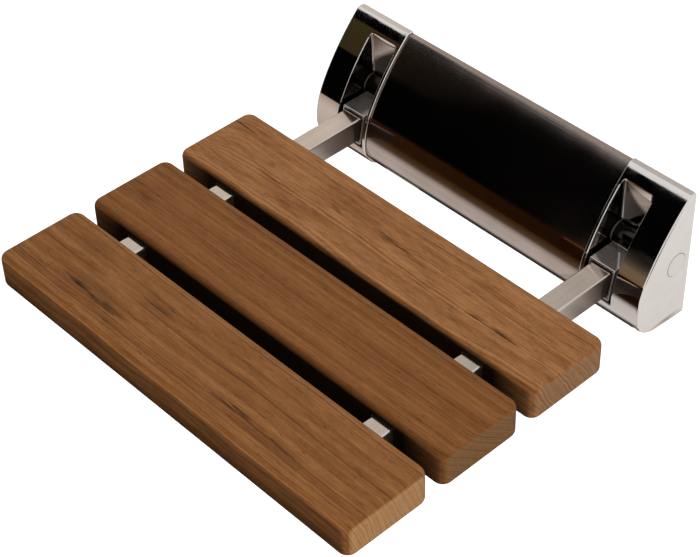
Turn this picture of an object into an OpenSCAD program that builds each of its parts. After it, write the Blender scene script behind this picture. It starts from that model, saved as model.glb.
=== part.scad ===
// Fold down wall seat: three hardwood slats on two square tube arms,
// hinged in the pockets of a wall bracket.
// X runs along the wall, Y points into the wall and Z points up, in millimetres.
// The origin is the centre of the four wall screw holes, in the plane of the wall.

/* [Slats] */
// Length of a slat
slat_l = 350; // [310:1:460]
// Depth of a slat, front to back
slat_d = 70; // [56:1:100]
// Thickness of a slat
slat_t = 28; // [26:0.5:40]
// Drainage gap between two slats
slat_gap = 10.5; // [5:0.5:25]
// Distance from the wall to the rear slat
slat_setback = 102.5; // [80:0.5:150]
// Rounding of a slat's edges
slat_edge_r = 5; // [2:0.5:8]
// Rounding of a slat's corners seen from above
slat_corner_r = 8; // [8:0.5:16]
// Wood left between an arm and the top of the seat
slat_web = 6; // [4:0.5:12]
// Height of the seat's top above the foot of the bracket
seat_rise = 53; // [48:0.5:60]

/* [Arms] */
// Distance between the centres of the arms
arm_spread = 244; // [240:1:250]
// Width of the arm tube
arm_w = 18; // [14:0.5:20]
// Height of the arm tube
arm_h = 19; // [14:0.5:22]
// Wall of the arm tube
arm_wall = 2; // [1.5:0.25:4]
// Rounding of the arm tube's long edges
arm_edge_r = 1.5; // [0.8:0.1:3]
// Distance from the front of the seat to the arms' front ends
arm_inset = 16; // [10:1:50]
// Play of an arm in its groove in the slats, each side
groove_play = 0.3; // [0.1:0.1:1]
// Thickness of the plug's flange at an arm's front end
arm_plug_t = 2; // [1:0.5:5]
// Length of the plug inside the arm
arm_plug_l = 10; // [5:1:20]

/* [Saddles under the slats] */
// Thickness of a saddle plate
saddle_t = 3; // [2:0.5:5]
// Size of a saddle plate along the slat
saddle_l = 44; // [40:1:54]
// Size of a saddle plate across the slat
saddle_w = 24; // [16:1:40]
// Distance from the edge of a saddle plate to its screws
saddle_screw_edge = 6.5; // [6:0.5:8]
// Diameter of the saddle screws
saddle_screw_d = 4; // [3:0.5:5]
// Diameter of the saddle screws' heads
saddle_head_d = 7.5; // [7:0.5:9]
// Length of the saddle screws
saddle_screw_l = 18; // [12:1:20]

/* [Knuckles] */
// Wall of a knuckle round its mouth
knuckle_wall = 1.6; // [1.2:0.1:3]
// Gap between the arm and the mouth, each side
mouth_gap = 0.6; // [0.3:0.1:1.2]
// Gap between the arm and the mouth, above and below
mouth_gap_h = 1; // [0.5:0.1:1.5]
// Depth of the widened mouth
mouth_l = 5; // [2:0.5:8]
// Depth of the socket that holds the arm, along its top
socket_l = 21; // [16:0.5:24]
// Distance from the bracket's front face back to the mouth's upper lip
mouth_set = 0.4; // [0:0.1:3]
// Diameter of the cross pins that lock the arms in the sockets
cross_pin_d = 4; // [3:0.5:6]
// Rounding of a knuckle's rear foot
heel_r = 4; // [2:0.5:6]

/* [Pivots] */
// Diameter of a pivot pin
pin_d = 8; // [6:0.5:10]
// Wall of the plain bush on a pivot pin
bush_t = 1.5; // [1:0.25:3]
// Radius of a knuckle's eye
eye_r = 10; // [9:0.5:11]
// Height of the pivot above the top of the arms
pivot_rise = 4.5; // [3.5:0.5:7]
// Gap between a knuckle's eye and the wall plate
eye_gap = 0.5; // [0.4:0.1:2]
// Radial running clearance of a pivot pin in its bush
pin_play = 0.05; // [0.02:0.01:0.1]
// Thickness of a friction washer
washer_t = 1; // [0.5:0.1:2]
// Step from a knuckle's eye in to a washer's edge
washer_step = 1; // [0.5:0.25:2]
// End play of a knuckle between its washers, each side
end_play = 0.3; // [0.2:0.05:0.6]
// Diameter of the plug over a pivot pin's outer end
pin_plug_d = 17.6; // [14:0.2:22]
// Thickness of the plug over a pivot pin's outer end
pin_plug_t = 3; // [1.5:0.5:4]
// Length of the blind boss behind the cover
pin_seat_l = 8; // [5:0.5:14]
// Wall of the blind boss behind the cover
pin_seat_wall = 4; // [2:0.5:6]

/* [Bracket] */
// Width of the bracket over both end housings
bracket_w = 318; // [304:1:330]
// Height of the bracket
bracket_h = 106; // [104:1:125]
// Depth of the bracket
bracket_d = 51.5; // [50:0.5:60]
// Width of an end housing
housing_w = 53.5; // [50:0.5:54]
// Wall of a housing
housing_wall = 3; // [2:0.25:3.5]
// Bevel of a housing's outer edge
housing_bevel = 1; // [0.5:0.1:2]
// Radius of the bracket's chin, below its deepest point
chin_r = 24; // [14:0.5:24]
// Rise of the bracket's underside from the wall to the chin
chin_rise = 2; // [0:0.5:4]
// Radius of the front just above its deepest point
nose_r = 60; // [50:1:66]
// Radius of the front's upper part
brow_r = 200; // [150:5:400]
// Depth of the bracket's flat top
top_d = 5; // [4:0.5:8]

/* [Cover and wall plate] */
// Step from a housing's front back to the cover's front
cover_step = 1.5; // [0.5:0.25:3]
// Wall of the cover
cover_t = 2; // [1.5:0.25:3]
// Gap between the cover and a housing
cover_gap = 0.3; // [0.1:0.1:1]
// Thickness of the rib inside the cover's top
rib_t = 1.5; // [1:0.25:3]
// Length of the rib below the wall plate's upper edge
rib_drop = 4; // [2:0.5:8]
// Thickness of the wall plate
plate_t = 3; // [2.5:0.25:4]
// Distance from the bracket's top and foot to the wall plate's edges
plate_margin = 8; // [7:0.5:12]
// Gap between the wall plate's ends and the housings' outer walls
plate_gap = 0.5; // [0.2:0.1:1]
// Distance between the wall screw holes along the wall
hole_span_x = 150; // [80:1:175]
// Distance between the wall screw holes up the wall
hole_span_z = 60; // [30:1:70]
// Diameter of the wall screw holes
hole_d = 6.5; // [4.5:0.5:8]
// Distance between the two cover clips
clip_span = 110; // [60:1:130]
// Width of a cover clip
clip_w = 18; // [12:1:24]
// Thickness of a cover clip
clip_t = 1.5; // [1:0.25:2]
// Height of a cover clip's leg on the wall plate
clip_leg = 14; // [12:0.5:16]
// Depth of a cover clip's foot along the cover's floor
clip_foot = 18; // [14:1:22]
// Diameter of the clip rivets
rivet_d = 4; // [3:0.5:5]
// Diameter of the clip rivets' heads
rivet_head_d = 7; // [6:0.5:9]
// Thickness of the clip rivets' heads
rivet_head_t = 1; // [0.5:0.25:2]
// Diameter of the screws that lock the cover from below
lock_screw_d = 4; // [3:0.5:5]
// Length of the screws that lock the cover from below
lock_screw_l = 8; // [5:0.5:12]
// Depth of the locking screws' ends inside the cover's underside
lock_screw_sink = 0.3; // [0.1:0.1:1]
// Diameter of the screws that hold a housing
housing_screw_d = 5; // [4:0.5:6]
// Diameter of the heads of the screws that hold a housing
housing_head_d = 9; // [8:0.5:10]
// Length of the screws that hold a housing
housing_screw_l = 16; // [10:1:18]
// Distance from the bracket's top down to the upper housing screw
upper_screw_drop = 28; // [24:1:34]
// Height of the lower housing screw above the foot of the bracket
lower_screw_h = 24; // [18:1:32]

/* [Pockets] */
// Gap between a knuckle and the side of its pocket
pocket_gap = 2.3; // [1.8:0.1:3]
// Gap below a knuckle
floor_gap = 1.4; // [1.2:0.1:3]
// Gap between a knuckle's eye and the lower edge of the pocket's back wall
sill_gap = 1; // [0.5:0.25:3]
// Gap left behind a knuckle's top when the seat is folded up
fold_gap = 2; // [1:0.25:3]
// Thickness of the stop pad behind a knuckle
pad_t = 2.8; // [2:0.1:4]
// Height of the stop pad
pad_h = 14; // [8:0.5:16]
// Step from a knuckle's side in to the stop pad's side
pad_step = 1; // [0:0.25:3]
// Gap between a stop pad and its knuckle
pad_gap = 0.2; // [0.1:0.05:0.5]

/* [Hidden] */

// Fits between pieces that don't move against each other
seat_play = 0.02;
// Step that takes a cut past a face, and laps solids that are one piece
cut = 1;
// Half angle of all countersunk heads
head_angle = 45;
RIGHT = 1;
LEFT = -1;

// Heights above the foot of the bracket are turned into Z by adding foot_z
foot_z = -bracket_h / 2;

seat_top = seat_rise;
slat_foot = seat_top - slat_t;
arm_top = seat_top - slat_web;
arm_foot = arm_top - arm_h;
arm_mid = (arm_top + arm_foot) / 2;
seat_front = slat_setback + 3 * slat_d + 2 * slat_gap;

knuckle_w = arm_w + 2 * (knuckle_wall + mouth_gap);
knuckle_top = arm_top + mouth_gap_h + knuckle_wall;
knuckle_foot = arm_foot - mouth_gap_h - knuckle_wall;

pivot_y = -(plate_t + eye_gap + eye_r);
pivot_h = arm_top + pivot_rise;
bush_r = pin_d / 2 + pin_play + bush_t;

pocket_w = knuckle_w + 2 * pocket_gap;
pocket_foot = knuckle_foot - floor_gap;
// The pocket's back wall lies behind the knuckle's top when the seat stands upright
pocket_back = -pivot_y + (pivot_h - knuckle_top) - fold_gap;
pocket_sill = pivot_h + eye_r + sill_gap;
eye_w = pocket_w - 2 * (washer_t + end_play);

// A depth well in front of the bracket, where its cuts start
far_y = -2 * bracket_d;

arm_x = arm_spread / 2;
cover_x = bracket_w / 2 - housing_w;
outer_x = bracket_w / 2;
pocket_in = arm_x - pocket_w / 2;
pocket_out = arm_x + pocket_w / 2;
cavity_in = pocket_out + housing_wall;
cavity_out = outer_x - housing_wall;
boss_x = (cavity_in + cavity_out) / 2;
upper_screw_h = bracket_h - upper_screw_drop;

// Front of the arms, and the line of their rear ends inside the sockets
arm_front = -(seat_front - arm_inset);
heel_y = -(plate_t + pad_t + pad_gap);

// Centres of the arcs of the bracket's side outline.
// The brow's arc touches the nose's and ends at the flat top.
chin_c = [-(bracket_d - chin_r), chin_rise + chin_r];
nose_c = [-(bracket_d - nose_r), chin_rise + chin_r];
top_run = [-top_d, bracket_h] - nose_c;
centre_run = brow_r - nose_r;
nose_turn = acos((pow(centre_run, 2) + top_run * top_run - pow(brow_r, 2)) / (2 * centre_run * norm(top_run)))
    - atan2(top_run.y, top_run.x);
brow_c = nose_c + centre_run * [cos(nose_turn), -sin(nose_turn)];

// Height at which the nose and the brow meet, moved inwards by i
function join_h(i = 0) = nose_c.y + (nose_r - i) * sin(nose_turn);
// Depth of the front at the height z
function front_y(z) = z < join_h()
    ? nose_c.x - sqrt(pow(nose_r, 2) - pow(z - nose_c.y, 2))
    : brow_c.x - sqrt(pow(brow_r, 2) - pow(z - brow_c.y, 2));
// Height of the bracket's underside, moved inwards by i, at the depth y
function floor_z(y, i = 0) = i + chin_rise * y / chin_c.x;

// Side outline of the bracket, moved inwards by i and cut off at the depth y_end.
// Its four parts lap by the length cut where one arc lies inside the next.
module outline(i = 0, y_end = 0) {
    intersection() {
        translate(brow_c)
            circle(brow_r - i, $fn = 480);
        side_rect(-bracket_d, y_end, join_h(i), bracket_h - i);
    }
    intersection() {
        translate(nose_c)
            circle(nose_r - i, $fn = 240);
        side_rect(-bracket_d, y_end, nose_c.y, join_h(i) + cut);
    }
    intersection() {
        translate(chin_c)
            circle(chin_r - i, $fn = 120);
        side_rect(-bracket_d, chin_c.x + cut, 0, chin_c.y + cut);
    }
    polygon([
        [chin_c.x, chin_c.y + cut],
        [y_end, chin_c.y + cut],
        [y_end, floor_z(y_end, i)],
        [chin_c.x, floor_z(chin_c.x, i)]
    ]);
}

// Extrudes a (y, z) shape from x0 to x1, with z counted from the foot of the bracket
module along_x(x0, x1) {
    translate([x0, 0, foot_z])
        rotate([90, 0, 90])
            linear_extrude(x1 - x0)
                children();
}

// A rectangle between the depths y0 and y1 and the heights z0 and z1
module side_rect(y0, y1, z0, z1) {
    translate([min(y0, y1), z0])
        square([abs(y1 - y0), z1 - z0]);
}

// A box given by its lowest and highest corners, with heights above the foot of the bracket
module block(low, high) {
    translate(low + [0, 0, foot_z])
        cube(high - low);
}

// A cylinder along X from x0 to x1
module rod_x(x0, x1, r, y, h) {
    translate([x0, y, h + foot_z])
        rotate([0, 90, 0])
            cylinder(r = r, h = x1 - x0, $fn = 64);
}

// A cylinder along Y, from the depth y0 towards the front, l long
module rod_y(y0, l, r, x, h) {
    translate([x, y0, h + foot_z])
        rotate([90, 0, 0])
            cylinder(r = r, h = l, $fn = 48);
}

// Puts a right hand piece on one side of the seat
module side(s) {
    if (s == RIGHT)
        children();
    else
        mirror([1, 0, 0])
            children();
}

// A countersunk screw along +Z with its head's face at z = 0; grow widens it for its hole
module flat_screw(d, head_d, l, grow = 0) {
    head_l = (head_d - d) / 2 / tan(head_angle);
    union() {
        cylinder(d1 = head_d + 2 * grow, d2 = d + 2 * grow, h = head_l, $fn = 40);
        cylinder(d = d + 2 * grow, h = l + grow, $fn = 40);
    }
}

// Takes a bevel off an edge that lies at [0, 0], below and to the left of which the solid is
module bevel_triangle() {
    polygon([[-housing_bevel - cut, cut], [cut, -housing_bevel - cut], [cut, cut]]);
}

// The bevel along the arc of radius r round c, from the angle a0 to a1
module arc_bevel(c, r, a0, a1) {
    translate([outer_x, c.x, c.y + foot_z])
        rotate([90, 0, 90])
            rotate_extrude(start = a0, angle = a1 - a0, $fn = 360)
                translate([r, 0])
                    bevel_triangle();
}

// The side outline of a housing as a solid with bevelled outer edges
module housing_solid() {
    top_angle = 180 - asin((bracket_h - brow_c.y) / brow_r);
    // The rings run this many degrees past the ends of the brow
    past = 1;
    difference() {
        along_x(cover_x, outer_x)
            outline();
        arc_bevel(chin_c, chin_r, 180, 270);
        arc_bevel(nose_c, nose_r, 180 - nose_turn, 180);
        arc_bevel(brow_c, brow_r, top_angle - past, 180 - nose_turn);
        translate([outer_x, cut, bracket_h + foot_z])
            rotate([90, 0, 0])
                linear_extrude(top_d + 2 * cut)
                    bevel_triangle();
        translate([outer_x, chin_c.x, chin_rise + foot_z])
            rotate([-90 - atan2(chin_rise, -chin_c.x), 0, 0])
                linear_extrude(-chin_c.x + cut)
                    bevel_triangle();
    }
}

// The space in a housing that the knuckle swings in
module pocket() {
    along_x(pocket_in, pocket_out) {
        side_rect(far_y, -pocket_back, pocket_foot, bracket_h);
        side_rect(far_y, cut, pocket_foot, pocket_sill);
    }
}

// The hollows behind a housing's walls, open towards the wall
module housing_hollows() {
    along_x(cavity_in, cavity_out)
        outline(housing_wall, cut);
    // Behind the pocket's back wall
    along_x(pocket_in, pocket_out)
        intersection() {
            outline(housing_wall);
            side_rect(-pocket_back + housing_wall, 0, pocket_sill + housing_wall, bracket_h);
        }
    // Below the pocket's floor
    along_x(pocket_in, pocket_out)
        intersection() {
            outline(housing_wall);
            side_rect(-bracket_d, 0, 0, pocket_foot - housing_wall);
        }
    // Room for the wall plate between the housing's top and foot
    block(
        [cover_x - cut, -plate_t, plate_margin - plate_gap],
        [cavity_out, cut, bracket_h - plate_margin + plate_gap]
    );
}

// Die cast end housing, chromed: outer shell, pocket, pin bosses and screw bosses
module housing(s) {
    pin_boss_r = pin_plug_d / 2 + housing_wall;
    seat_boss_r = pin_d / 2 + pin_seat_wall;
    screw_boss_r = housing_screw_d / 2 + housing_wall;
    side(s)
        difference() {
            union() {
                difference() {
                    housing_solid();
                    housing_hollows();
                    pocket();
                }
                intersection() {
                    housing_solid();
                    union() {
                        rod_x(cavity_in - cut, outer_x - housing_bevel, pin_boss_r, pivot_y, pivot_h);
                        for (h = [lower_screw_h, upper_screw_h]) {
                            rod_y(-plate_t, housing_screw_l + housing_wall, screw_boss_r, boss_x, h);
                            block(
                                [cavity_in - cut, -bracket_d, h - housing_wall / 2],
                                [cavity_out + cut, -plate_t, h + housing_wall / 2]
                            );
                        }
                    }
                    block([cover_x, -bracket_d, 0], [outer_x, -plate_t, bracket_h]);
                }
                rod_x(cover_x - pin_seat_l, cover_x + cut, seat_boss_r, pivot_y, pivot_h);
            }
            rod_x(cover_x - pin_seat_l + housing_wall, outer_x, pin_d / 2 + seat_play, pivot_y, pivot_h);
            rod_x(outer_x - pin_plug_t, outer_x + cut, pin_plug_d / 2 + seat_play, pivot_y, pivot_h);
            for (h = [lower_screw_h, upper_screw_h])
                rod_y(0, housing_screw_l + cut, housing_screw_d / 2 + seat_play, boss_x, h);
        }
}

// The countersunk screws that hold the housings, put in from behind the wall plate
module housing_screw(x, h, grow = 0) {
    translate([x, 0, h + foot_z])
        rotate([90, 0, 0])
            flat_screw(housing_screw_d, housing_head_d, housing_screw_l, grow);
}

module housing_screws() {
    color("silver")
        for (x = [-boss_x, boss_x], h = [lower_screw_h, upper_screw_h])
            housing_screw(x, h);
}

// Stainless plate that carries everything and is screwed to the wall
module wall_plate() {
    color("lightslategray")
        difference() {
            block(
                [-(cavity_out - plate_gap), -plate_t, plate_margin],
                [cavity_out - plate_gap, 0, bracket_h - plate_margin]
            );
            for (x = [-1, 1], z = [-1, 1])
                translate([x * hole_span_x / 2, cut, z * hole_span_z / 2])
                    rotate([90, 0, 0])
                        cylinder(d = hole_d, h = plate_t + 2 * cut, $fn = 48);
            for (x = [-boss_x, boss_x], h = [lower_screw_h, upper_screw_h])
                housing_screw(x, h, seat_play);
            for (x = [-clip_span / 2, clip_span / 2])
                rod_y(cut, plate_t + 2 * cut, rivet_d / 2 + seat_play, x, rivet_h);
        }
}

// Extruded aluminium cover between the housings, with a rib that rests on the wall plate
module centre_cover() {
    half_l = cover_x - cover_gap;
    color([0.22, 0.2, 0.19])
        difference() {
            union() {
                difference() {
                    along_x(-half_l, half_l)
                        outline(cover_step);
                    along_x(-half_l - cut, half_l + cut)
                        outline(cover_step + cover_t, cut);
                }
                along_x(-half_l, half_l)
                    intersection() {
                        outline(cover_step);
                        side_rect(-plate_t - rib_t, -plate_t, bracket_h - plate_margin - rib_drop, bracket_h);
                    }
            }
            for (x = [-clip_span / 2, clip_span / 2])
                lock_screw(x, seat_play);
        }
}

// Height and depth of the clip's holes
clip_floor = cover_step + cover_t;
clip_top = floor_z(0, clip_floor) + clip_leg;
rivet_h = max(plate_margin, floor_z(0, clip_floor) + clip_t) + (clip_top - plate_margin) / 2;
lock_screw_y = -(plate_t + clip_foot) / 2;

// Spring steel angles on the wall plate that the cover's floor is screwed to
module cover_clips() {
    color("dimgray")
        for (x = [-clip_span / 2, clip_span / 2])
            difference() {
                along_x(x - clip_w / 2, x + clip_w / 2)
                    polygon([
                        [-plate_t, floor_z(-plate_t, clip_floor)],
                        [-plate_t, clip_top],
                        [-plate_t - clip_t, clip_top],
                        [-plate_t - clip_t, floor_z(-plate_t - clip_t, clip_floor) + clip_t],
                        [-clip_foot, floor_z(-clip_foot, clip_floor) + clip_t],
                        [-clip_foot, floor_z(-clip_foot, clip_floor)]
                    ]);
                rod_y(cut, plate_t + clip_t + 2 * cut, rivet_d / 2 + seat_play, x, rivet_h);
                lock_screw(x, seat_play);
            }
}

// Rivets through the wall plate and the cover clips
module clip_rivets() {
    color("gray")
        for (x = [-clip_span / 2, clip_span / 2])
            union() {
                rod_y(0, plate_t + clip_t + rivet_head_t, rivet_d / 2, x, rivet_h);
                rod_y(-plate_t - clip_t, rivet_head_t, rivet_head_d / 2, x, rivet_h);
            }
}

// Grub screw through the cover's floor and a clip, flush with the cover's underside
module lock_screw(x, grow = 0) {
    foot = floor_z(lock_screw_y, cover_step) + lock_screw_sink;
    past = grow > 0 ? 2 * cut : 0;
    translate([x, lock_screw_y, foot_z + foot - past])
        cylinder(d = lock_screw_d + 2 * grow, h = lock_screw_l + 2 * past, $fn = 40);
}

module cover_lock_screws() {
    color("silver")
        for (x = [-clip_span / 2, clip_span / 2])
            lock_screw(x);
}

// Stainless pin through the pocket, from the blind boss to just behind the plug
module pivot_pin(s) {
    color("gainsboro")
        side(s)
            rod_x(
                cover_x - pin_seat_l + housing_wall + end_play,
                outer_x - pin_plug_t - end_play,
                pin_d / 2, pivot_y, pivot_h
            );
}

// Acetal washers on both sides of each knuckle's eye, against the pocket's walls
module friction_washers() {
    color("ivory")
        for (s = [LEFT, RIGHT], x = [pocket_in, pocket_out - washer_t])
            side(s)
                difference() {
                    rod_x(x, x + washer_t, eye_r - washer_step, pivot_y, pivot_h);
                    rod_x(x - cut, x + washer_t + cut, pin_d / 2 + pin_play, pivot_y, pivot_h);
                }
}

// Chromed disc that closes a pin's hole in the housing's outer face
module pin_plug(s) {
    color("silver")
        side(s)
            rod_x(outer_x - pin_plug_t, outer_x, pin_plug_d / 2, pivot_y, pivot_h);
}

// Hard pad on the wall plate that a knuckle's heel bears on when the seat is down
module stop_pad(s) {
    color("black")
        side(s)
            block(
                [arm_x - knuckle_w / 2 + pad_step, -plate_t - pad_t, knuckle_foot + heel_r],
                [arm_x + knuckle_w / 2 - pad_step, -plate_t, knuckle_foot + heel_r + pad_h]
            );
}

// Side outline of the knuckle's block: slanted mouth, square top and rounded heel
mouth_top_y = front_y(knuckle_top) + mouth_set;
mouth_foot_y = front_y(knuckle_foot + floor_gap) + mouth_set;
socket_end = front_y(arm_top) + socket_l;

// Polished cast knuckle: an eye on the pivot, blended into a sleeve on the arm's end
module knuckle(s) {
    color("silver")
        side(s)
            difference() {
                union() {
                    along_x(arm_x - knuckle_w / 2, arm_x + knuckle_w / 2) {
                        polygon([
                            [mouth_top_y, knuckle_top],
                            [mouth_foot_y, knuckle_foot],
                            [heel_y - heel_r, knuckle_foot],
                            [heel_y, knuckle_foot + heel_r],
                            [heel_y, pivot_h],
                            [pivot_y, pivot_h],
                            [pivot_y, knuckle_top]
                        ]);
                        translate([heel_y - heel_r, knuckle_foot + heel_r])
                            circle(heel_r, $fn = 64);
                    }
                    rod_x(arm_x - eye_w / 2, arm_x + eye_w / 2, eye_r, pivot_y, pivot_h);
                }
                rod_x(arm_x - eye_w, arm_x + eye_w, bush_r + seat_play, pivot_y, pivot_h);
                block(
                    [arm_x - arm_w / 2 - seat_play, far_y, arm_foot - seat_play],
                    [arm_x + arm_w / 2 + seat_play, socket_end, arm_top + seat_play]
                );
                // The mouth is widened all round, parallel to its slanted face
                along_x(arm_x - arm_w / 2 - mouth_gap, arm_x + arm_w / 2 + mouth_gap)
                    polygon([
                        [far_y, arm_top + mouth_gap_h],
                        [mouth_top_y + mouth_l, arm_top + mouth_gap_h],
                        [mouth_foot_y + mouth_l, arm_foot - mouth_gap_h],
                        [far_y, arm_foot - mouth_gap_h]
                    ]);
                cross_pin(seat_play);
            }
}

// Plain bearing bush pressed into a knuckle's eye
module pivot_bush(s) {
    color("peru")
        side(s)
            difference() {
                rod_x(arm_x - eye_w / 2, arm_x + eye_w / 2, bush_r, pivot_y, pivot_h);
                rod_x(arm_x - eye_w, arm_x + eye_w, pin_d / 2 + pin_play, pivot_y, pivot_h);
            }
}

// Spring pin across the socket, one for each arm
cross_pin_y = (mouth_top_y + mouth_l + socket_end) / 2;

module cross_pin(grow = 0) {
    l = knuckle_w / 2 + (grow > 0 ? cut : 0);
    rod_x(arm_x - l, arm_x + l, cross_pin_d / 2 + grow, cross_pin_y, arm_mid);
}

module cross_pins() {
    color("gray")
        for (s = [LEFT, RIGHT])
            side(s)
                cross_pin();
}

// Outline of a square tube in (x, z), r being the rounding of its edges
module tube_outline(w, h, r) {
    for (x = [-1, 1], z = [-1, 1])
        translate([x * (w / 2 - r), z * (h / 2 - r)])
            circle(r, $fn = 32);
    square([w - 2 * r, h], center = true);
    square([w, h - 2 * r], center = true);
}

// Stainless square tube arm, from the bottom of the socket to under the front slat
module arm(s) {
    color([0.7, 0.66, 0.62])
        side(s)
            difference() {
                translate([arm_x, socket_end - end_play, arm_mid + foot_z])
                    rotate([90, 0, 0])
                        linear_extrude(socket_end - end_play - arm_front)
                            difference() {
                                tube_outline(arm_w, arm_h, arm_edge_r);
                                square([arm_w - 2 * arm_wall, arm_h - 2 * arm_wall], center = true);
                            }
                cross_pin(seat_play);
            }
}

// Moulded plugs in the arms' front ends
module arm_plugs() {
    plug_play = 2 * (arm_wall + seat_play);
    color("black")
        for (s = [LEFT, RIGHT])
            side(s)
                translate([arm_x, arm_front, arm_mid + foot_z])
                    rotate([90, 0, 0])
                        union() {
                            linear_extrude(arm_plug_t)
                                tube_outline(arm_w, arm_h, arm_edge_r);
                            translate([0, 0, -arm_plug_l])
                                linear_extrude(arm_plug_l)
                                    square([arm_w - plug_play, arm_h - plug_play], center = true);
                        }
}

// Middle of slat k, counted from the wall
function slat_y(k) = -(slat_setback + slat_d / 2 + k * (slat_d + slat_gap));
// Front end of the grooves in slat k, just past the arm plugs in the front slat
function groove_end(k) = max(slat_y(k) - slat_d / 2 - cut, arm_front - arm_plug_t - groove_play);

// Right half of a slat's section from the middle of an edge's rounding out, w being its half width
module slat_half_section(w) {
    square([w - slat_edge_r, slat_t]);
    translate([0, slat_edge_r])
        square([w, slat_t - 2 * slat_edge_r]);
    for (z = [slat_edge_r, slat_t - slat_edge_r])
        intersection() {
            translate([w - slat_edge_r, z])
                circle(slat_edge_r, $fn = 64);
            square([w, slat_t]);
        }
}

// Both halves of a slat's section, l long along Y
module slat_run(w, l) {
    for (turn = [0, 180])
        rotate([90, 0, turn])
            translate([0, 0, -l / 2])
                linear_extrude(l)
                    slat_half_section(w);
}

// A slat with rounded edges and corners, before it is grooved
module slat_blank() {
    slat_run(slat_l / 2, slat_d - 2 * slat_corner_r);
    rotate([0, 0, 90])
        slat_run(slat_d / 2, slat_l - 2 * slat_corner_r);
    for (turn = [0 : 90 : 270])
        translate([
            sign(cos(turn + 45)) * (slat_l / 2 - slat_corner_r),
            sign(sin(turn + 45)) * (slat_d / 2 - slat_corner_r),
            0
        ])
            rotate_extrude(start = turn, angle = 90, $fn = 64)
                slat_half_section(slat_corner_r);
}

// Hardwood slat with grooves for the arms, rebates for the saddles and pilot holes
module slat(k) {
    tone = [[0.72, 0.47, 0.29], [0.58, 0.33, 0.2], [0.6, 0.38, 0.24]];
    color(tone[k])
        difference() {
            translate([0, slat_y(k), slat_foot + foot_z])
                slat_blank();
            for (x = [-arm_x, arm_x]) {
                block(
                    [x - arm_w / 2 - groove_play, groove_end(k), slat_foot - cut],
                    [x + arm_w / 2 + groove_play, slat_y(k) + slat_d / 2 + cut, arm_top]
                );
                block(
                    [x - saddle_l / 2 - groove_play, slat_y(k) - saddle_w / 2 - groove_play, slat_foot - cut],
                    [x + saddle_l / 2 + groove_play, slat_y(k) + saddle_w / 2 + groove_play, arm_foot]
                );
            }
            saddle_screws_of(k, seat_play);
        }
}

// The two screws of each saddle under slat k
module saddle_screws_of(k, grow = 0) {
    for (x = [-arm_x, arm_x], side_x = [-1, 1])
        translate([
            x + side_x * (saddle_l / 2 - saddle_screw_edge),
            slat_y(k),
            arm_foot - saddle_t + foot_z
        ])
            flat_screw(saddle_screw_d, saddle_head_d, saddle_screw_l, grow);
}

// Stainless plates that clamp the slats to the arms, let into the slats' undersides
module slat_saddles() {
    color("lightslategray")
        for (k = [0 : 2])
            difference() {
                for (x = [-arm_x, arm_x])
                    block(
                        [x - saddle_l / 2, slat_y(k) - saddle_w / 2, arm_foot - saddle_t],
                        [x + saddle_l / 2, slat_y(k) + saddle_w / 2, arm_foot]
                    );
                saddle_screws_of(k, seat_play);
            }
}

module saddle_screws() {
    color("silver")
        for (k = [0 : 2])
            saddle_screws_of(k);
}

wall_plate();
color("silver") housing(LEFT);  // housing_left
color("silver") housing(RIGHT);  // housing_right
housing_screws();
centre_cover();
cover_clips();
clip_rivets();
cover_lock_screws();
pivot_pin(LEFT);  // pivot_pin_left
pivot_pin(RIGHT);  // pivot_pin_right
friction_washers();
pin_plug(LEFT);  // pin_plug_left
pin_plug(RIGHT);  // pin_plug_right
stop_pad(LEFT);  // stop_pad_left
stop_pad(RIGHT);  // stop_pad_right
knuckle(LEFT);  // knuckle_left
knuckle(RIGHT);  // knuckle_right
pivot_bush(LEFT);  // pivot_bush_left
pivot_bush(RIGHT);  // pivot_bush_right
arm(LEFT);  // arm_left
arm(RIGHT);  // arm_right
cross_pins();
arm_plugs();
slat(0);  // slat_rear
slat(1);  // slat_middle
slat(2);  // slat_front
slat_saddles();
saddle_screws();
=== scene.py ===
import math

import bmesh
import bpy
import numpy as np
from mathutils import Matrix


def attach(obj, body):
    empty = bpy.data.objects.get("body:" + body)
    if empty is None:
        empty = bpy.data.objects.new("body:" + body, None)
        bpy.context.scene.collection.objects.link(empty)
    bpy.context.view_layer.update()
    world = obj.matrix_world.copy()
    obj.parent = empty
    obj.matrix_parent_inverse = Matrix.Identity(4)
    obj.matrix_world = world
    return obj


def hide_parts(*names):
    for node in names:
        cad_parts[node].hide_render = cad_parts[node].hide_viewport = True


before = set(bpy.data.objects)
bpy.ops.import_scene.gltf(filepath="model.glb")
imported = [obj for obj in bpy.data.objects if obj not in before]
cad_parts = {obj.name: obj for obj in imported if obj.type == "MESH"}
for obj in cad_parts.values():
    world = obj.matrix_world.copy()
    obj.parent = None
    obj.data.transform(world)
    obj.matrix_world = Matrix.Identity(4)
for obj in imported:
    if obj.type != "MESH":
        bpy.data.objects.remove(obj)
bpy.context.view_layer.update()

# Camera: a long portrait lens from in front, to the right and above, as the photograph was taken.
# Its place was found by matching the slats, the arms and the bracket's outline. Angles are in degrees,
# distances in metres, the focal length and the photograph's width in the photograph's pixels.
photo_w, view_focus = 700, 1919.5
sensor = 36.0
view_azimuth, view_height, view_roll = 47.853, 41.852, -1.828
view_distance = 1.27915
aim = np.array([0.0, -0.200, 0.007])
aim_aside, aim_down = 0.02553, -0.00274
az, el, roll = np.radians([view_azimuth, view_height, view_roll])
back = np.array([np.sin(az) * np.cos(el), -np.cos(az) * np.cos(el), np.sin(el)])
level = np.array([np.cos(az), np.sin(az), 0.0])
upright = np.cross(back, level)
right = level * np.cos(roll) + upright * np.sin(roll)
up = upright * np.cos(roll) - level * np.sin(roll)
lens = bpy.data.cameras.new("studio_camera")
lens.sensor_width = sensor
lens.lens = sensor * view_focus / photo_w
camera = bpy.data.objects.new("studio_camera", lens)
turned = np.eye(4)
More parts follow.
